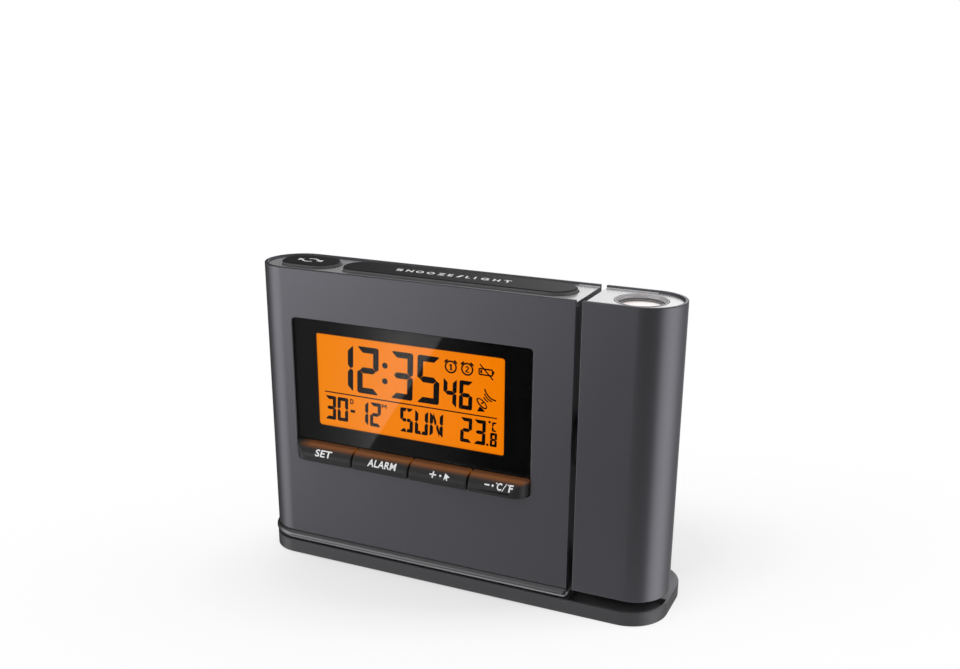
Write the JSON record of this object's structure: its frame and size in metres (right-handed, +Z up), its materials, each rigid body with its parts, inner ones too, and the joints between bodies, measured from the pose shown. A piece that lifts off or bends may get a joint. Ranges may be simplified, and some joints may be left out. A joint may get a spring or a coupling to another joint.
{
  "type": "projection alarm clock",
  "caption": "Upright slab alarm clock with a lit display window, front and top keys, a wide foot and a swivelling projector arm with a focus ring.",
  "frame": {"origin": "centre of the bounding box at the table plane, under the foot", "axes": "+X along the clock towards the projector arm, +Y towards the back, +Z up; the display faces -Y"},
  "size_m": [0.1498, 0.0424, 0.107],
  "materials": {
    "case_plastic": "fine satin anthracite plastic",
    "foot_plastic": "satin dark plastic",
    "silver_panel": "silver painted, satin",
    "pad_rubber": "matt",
    "steel": "plain",
    "clear_pane": "clear with a dark border",
    "black_frame": "black",
    "display_glass": "orange backlit liquid crystal display",
    "light_guide": "diffusing",
    "amber_led": "clear amber",
    "white_plastic": "matt",
    "elastomer": "matt",
    "circuit_board": "green solder mask",
    "chip_black": "matt",
    "switch_grey": "plain",
    "front_key_plastic": "satin, white printed words",
    "top_key_plastic": "satin, white printed words",
    "tray_plastic": "matt",
    "cell_sleeve": "printed sleeve",
    "reset_grey": "plain",
    "buzzer_brass": "plain",
    "ferrite": "dark, with a copper winding",
    "sensor_blue": "epoxy bead",
    "wire_red": "plain",
    "tube_black": "matt",
    "led_red": "clear red",
    "lens_clear": "polished",
    "slide_glass": "small liquid crystal slide"
  },
  "bodies": {
    "clock_body": {"housing": "case_plastic", "top_panel": "silver_panel", "base_plate": "foot_plastic", "foot_collar": "foot_plastic", "foot_pads": "pad_rubber", "base_screws": "steel", "display_window": "clear_pane", "display_bezel": "black_frame", "lcd_panel": "display_glass", "backlight_panel": "light_guide", "backlight_leds": "amber_led", "lcd_holder": "white_plastic", "zebra_strip": "elastomer", "main_pcb": "circuit_board", "pcb_chips": "chip_black", "key_switches": "switch_grey", "frame_screws": "steel", "chassis": "white_plastic", "top_board": "circuit_board", "top_switches": "switch_grey", "battery_tray": "tray_plastic", "battery_contacts": "steel", "battery_cells": "cell_sleeve", "dc_jack": "black_frame", "buzzer": "buzzer_brass", "radio_antenna": "ferrite", "temp_sensor": "sensor_blue", "hinge_bush": "tray_plastic", "friction_washer": "steel"},
    "projector_arm": {"arm_housing": "case_plastic", "arm_top_panel": "silver_panel", "arm_bottom_cap": "foot_plastic", "projector_tube": "tube_black", "projector_screws": "steel", "led_board": "white_plastic", "projector_led": "led_red", "condenser_lens": "lens_clear", "projection_lcd": "slide_glass", "arm_pcb": "circuit_board", "hinge_shaft": "foot_plastic", "shaft_screws": "steel", "hinge_nut": "steel", "hinge_wires": "wire_red"},
    "focus_ring": {"focus_ring": "silver_panel"},
    "lens_cell": {"lens_cell": "tube_black", "projector_lens": "lens_clear"},
    "battery_door": {"battery_door": "foot_plastic"},
    "reset_button": {"reset_button": "reset_grey"},
    "set_key": {"set_key": "front_key_plastic"},
    "alarm_key": {"alarm_key": "front_key_plastic"},
    "plus_key": {"plus_key": "front_key_plastic"},
    "minus_key": {"minus_key": "front_key_plastic"},
    "flip_key": {"flip_key": "top_key_plastic"},
    "snooze_key": {"snooze_key": "top_key_plastic"}
  },
  "joints": [
    {"name": "arm_swivel", "type": "hinge", "parent": "clock_body", "child": "projector_arm", "pos_m": [0.04372, -0.00475, 0.05775], "axis": [1, 0, 0], "range_deg": [-90, 90]},
    {"name": "lens_slide", "type": "slide", "parent": "projector_arm", "child": "lens_cell", "axis": [0, 0, 1], "range_m": [-0.0015, 0.0015]},
    {"name": "focus_turn", "type": "hinge", "parent": "projector_arm", "child": "focus_ring", "pos_m": [0.06062, -0.00475, 0.1065], "axis": [0, 0, 1], "range_deg": [-90, 90]},
    {"name": "battery_door_turn", "type": "hinge", "parent": "clock_body", "child": "battery_door", "pos_m": [-0.02583, 0.00645, 0.0133], "axis": [-1, 0, 0], "range_deg": [0, 95]},
    {"name": "reset_press", "type": "slide", "parent": "clock_body", "child": "reset_button", "axis": [0, -1, 0], "range_m": [0, 0.0006], "stiffness_N_per_m": 500, "springref_m": -0.0004},
    {"name": "set_press", "type": "slide", "parent": "clock_body", "child": "set_key", "axis": [0, 1, 0], "range_m": [0, 0.0008], "stiffness_N_per_m": 800, "springref_m": -0.0005},
    {"name": "alarm_press", "type": "slide", "parent": "clock_body", "child": "alarm_key", "axis": [0, 1, 0], "range_m": [0, 0.0008], "stiffness_N_per_m": 800, "springref_m": -0.0005},
    {"name": "plus_press", "type": "slide", "parent": "clock_body", "child": "plus_key", "axis": [0, 1, 0], "range_m": [0, 0.0008], "stiffness_N_per_m": 800, "springref_m": -0.0005},
    {"name": "minus_press", "type": "slide", "parent": "clock_body", "child": "minus_key", "axis": [0, 1, 0], "range_m": [0, 0.0008], "stiffness_N_per_m": 800, "springref_m": -0.0005},
    {"name": "flip_press", "type": "slide", "parent": "clock_body", "child": "flip_key", "axis": [0, 0, -1], "range_m": [0, 0.001], "stiffness_N_per_m": 900, "springref_m": -0.0005},
    {"name": "snooze_press", "type": "slide", "parent": "clock_body", "child": "snooze_key", "axis": [0, 0, -1], "range_m": [0, 0.001], "stiffness_N_per_m": 900, "springref_m": -0.0005}
  ],
  "couplings": [
    {"joint": "focus_turn", "follows": "lens_slide", "rad_per_m": 1045}
  ]
}
